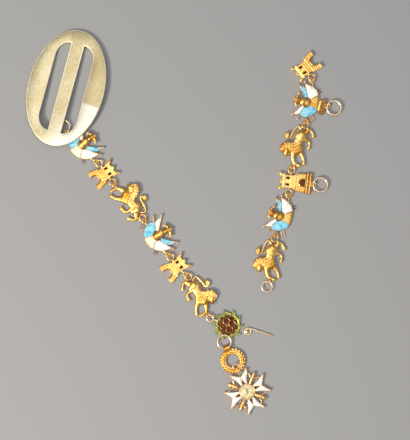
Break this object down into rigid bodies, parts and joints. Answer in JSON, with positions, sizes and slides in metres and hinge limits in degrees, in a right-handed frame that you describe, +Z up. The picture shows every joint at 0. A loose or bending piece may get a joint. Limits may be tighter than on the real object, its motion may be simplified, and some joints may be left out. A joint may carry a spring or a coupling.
{
  "type": "chain of office",
  "caption": "Chain of cast castle, lion and enamelled trophy links in two stretches, with an oval slide buckle, a medallion with a pin, a laurel wreath and a pointed star.",
  "frame": {"origin": "middle of the footprint, on the surface that the chain lies on", "axes": "+Z up from the surface; +Y towards the buckle's end, away from the star; +X from the long stretch towards the short one"},
  "size_m": [0.1324, 0.1616, 0.0042],
  "materials": {
    "cast_gold": "cast and chased gilt, warm yellow",
    "gold_wire": "smooth drawn gilt wire",
    "pale_gilt": "fine brushed pale gilt",
    "white_enamel": "opaque white enamel, glossy",
    "blue_enamel": "translucent light blue enamel, glossy",
    "green_enamel": "translucent green enamel, glossy",
    "dark_enamel": "dark brown enamel ground",
    "cream_enamel": "opaque cream enamel, glossy"
  },
  "bodies": {
    "root": {"buckle": "pale_gilt", "buckle_ring": "gold_wire", "castle_1": "cast_gold", "castle_2": "cast_gold", "castle_3": "cast_gold", "castle_4": "cast_gold", "castle_4_ring": "gold_wire", "end_ring": "gold_wire", "lion_1": "cast_gold", "lion_2": "cast_gold", "lion_3": "cast_gold", "lion_4": "cast_gold", "medallion": "cast_gold", "pin": "gold_wire", "star": "cast_gold", "trophy_1": "cast_gold", "trophy_2": "cast_gold", "trophy_3": "cast_gold", "trophy_3_ring": "gold_wire", "trophy_4": "cast_gold", "wreath": "cast_gold"}
  },
  "joints": []
}
